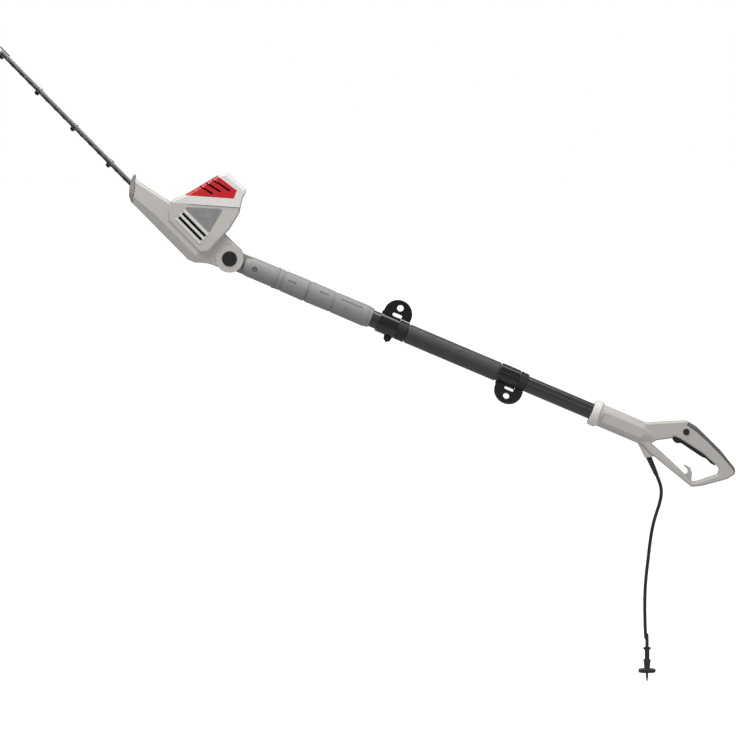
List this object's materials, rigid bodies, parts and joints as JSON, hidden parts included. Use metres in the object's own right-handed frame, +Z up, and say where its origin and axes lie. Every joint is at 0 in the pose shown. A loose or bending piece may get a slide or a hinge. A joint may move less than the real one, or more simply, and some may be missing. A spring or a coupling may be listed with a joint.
{
  "type": "pole hedge trimmer",
  "caption": "Electric hedge trimmer on a telescopic pole, with a tilting cutting head, reciprocating double blade, strap eyes and a D-shaped trigger handle.",
  "frame": {"origin": "centre of the eye in the front shoulder-strap clamp, in the middle of its plate", "axes": "+Y through the strap eye, to the operator's right; +Z up with the pole falling 23 degrees towards the handle; +X level, from the cutter towards the handle"},
  "size_m": [1.7061, 0.0948, 1.4626],
  "materials": {
    "housing": "fine texture",
    "light_trim": "satin",
    "frame_grey": "satin",
    "red_cover": "gloss",
    "badge": "satin",
    "grip_grey": "satin",
    "black_plastic": "satin",
    "clamp_black": "gloss",
    "tube_black": "black coated",
    "foam": "foam",
    "soft_grey": "soft",
    "cord_black": "satin",
    "bar_steel": "ground",
    "blade_steel": "ground and oiled",
    "zinc_steel": "zinc plated",
    "black_steel": "black oxide",
    "cast_alloy": "as cast",
    "copper": "enamelled wire",
    "brass_pins": "nickel plated"
  },
  "bodies": {
    "handle": {"inner_tube": "tube_black", "inner_tube_glide": "black_plastic", "pole_cable": "cord_black", "handle_shell_left": "housing", "handle_shell_right": "housing", "handle_soft_grip": "soft_grey", "handle_screws": "zinc_steel", "handle_collar": "light_trim", "trigger_pin": "zinc_steel", "trigger_spring": "zinc_steel", "switch_body": "black_plastic", "cord_boot": "cord_black", "power_cord": "cord_black", "plug_body": "cord_black", "plug_pins": "brass_pins"},
    "pole": {"knuckle": "grip_grey", "pole_screws": "zinc_steel", "front_grip_left": "grip_grey", "front_grip_right": "grip_grey", "outer_tube": "tube_black", "foam_sleeve": "foam", "sleeve_collar": "black_plastic", "telescope_collet": "light_trim", "tilt_spring": "zinc_steel"},
    "telescope_nut": {"telescope_nut": "black_plastic"},
    "front_clamp": {"front_strap_clamp": "clamp_black", "front_clamp_screw": "black_steel"},
    "rear_clamp": {"rear_strap_clamp": "clamp_black", "rear_clamp_screws": "black_steel"},
    "head": {"head_shell_left": "housing", "head_shell_right": "housing", "side_badges": "badge", "head_screws": "zinc_steel", "motor_vent_cover": "red_cover", "motor_end_cap": "light_trim", "front_frame": "frame_grey", "guide_bar": "bar_steel", "blade_bolts": "zinc_steel", "blade_washers": "zinc_steel", "blade_nuts": "zinc_steel", "tip_guard": "bar_steel", "gear_pin": "zinc_steel", "gearbox_plate": "cast_alloy", "base_plate": "zinc_steel", "motor_stator": "black_steel", "field_coils": "copper", "motor_bearings": "zinc_steel", "brush_holders": "brass_pins", "tilt_axle": "zinc_steel"},
    "tilt_button": {"tilt_button": "black_plastic"},
    "tilt_lock_ring": {"tilt_lock_ring": "black_steel"},
    "upper_blade": {"upper_blade": "blade_steel"},
    "lower_blade": {"lower_blade": "blade_steel"},
    "drive_gear": {"drive_gear": "black_steel"},
    "armature": {"motor_shaft": "zinc_steel", "armature_core": "black_steel", "commutator": "copper", "cooling_fan": "black_plastic"},
    "trigger": {"trigger": "black_plastic"},
    "lock_off_button": {"lock_off_button": "black_plastic"}
  },
  "joints": [
    {"name": "telescope", "type": "slide", "parent": "handle", "child": "pole", "axis": [-0.9205, 0, 0.3907], "range_m": [0, 0.48]},
    {"name": "telescope_nut_twist", "type": "hinge", "parent": "pole", "child": "telescope_nut", "pos_m": [0.27988, 0, -0.16986], "axis": [0.9205, 0, -0.3907], "range_deg": [0, 90]},
    {"name": "front_clamp_swivel", "type": "hinge", "parent": "pole", "child": "front_clamp", "pos_m": [-0.02941, 0, -0.03857], "axis": [0.9205, 0, -0.3907], "continuous": true},
    {"name": "rear_clamp_swivel", "type": "hinge", "parent": "pole", "child": "rear_clamp", "pos_m": [0.24858, 0, -0.15658], "axis": [0.9205, 0, -0.3907], "continuous": true},
    {"name": "head_tilt", "type": "hinge", "parent": "pole", "child": "head", "pos_m": [-0.39209, 0, 0.11537], "axis": [0, 1, 0], "range_deg": [-67.5, 67.5]},
    {"name": "tilt_button_press", "type": "slide", "parent": "head", "child": "tilt_button", "axis": [0, 1, 0], "range_m": [0, 0.005]},
    {"name": "tilt_lock_release", "type": "slide", "parent": "pole", "child": "tilt_lock_ring", "axis": [0, 1, 0], "range_m": [0, 0.005], "deforming": ["tilt_spring"]},
    {"name": "lower_blade_stroke", "type": "slide", "parent": "head", "child": "lower_blade", "axis": [-0.7009, 0, 0.7133], "range_m": [0, 0.014]},
    {"name": "upper_blade_stroke", "type": "slide", "parent": "head", "child": "upper_blade", "axis": [-0.7009, 0, 0.7133], "range_m": [-0.014, 0]},
    {"name": "drive_gear_spin", "type": "hinge", "parent": "head", "child": "drive_gear", "pos_m": [-0.52567, 0, 0.20422], "axis": [0.7133, 0, 0.7009], "continuous": true},
    {"name": "motor_spin", "type": "hinge", "parent": "head", "child": "armature", "pos_m": [-0.49413, 0, 0.17213], "axis": [0.7133, 0, 0.7009], "continuous": true},
    {"name": "trigger_pull", "type": "hinge", "parent": "handle", "child": "trigger", "pos_m": [0.72116, 0, -0.34848], "axis": [0, 1, 0], "range_deg": [0, 6], "deforming": ["trigger_spring"]},
    {"name": "lock_off_push", "type": "slide", "parent": "handle", "child": "lock_off_button", "axis": [0, 1, 0], "range_m": [-0.003, 0.003]}
  ],
  "couplings": [
    {"joint": "tilt_lock_release", "follows": "tilt_button_press", "ratio": 1},
    {"joint": "upper_blade_stroke", "follows": "lower_blade_stroke", "ratio": -1},
    {"joint": "motor_spin", "follows": "drive_gear_spin", "ratio": -5}
  ]
}
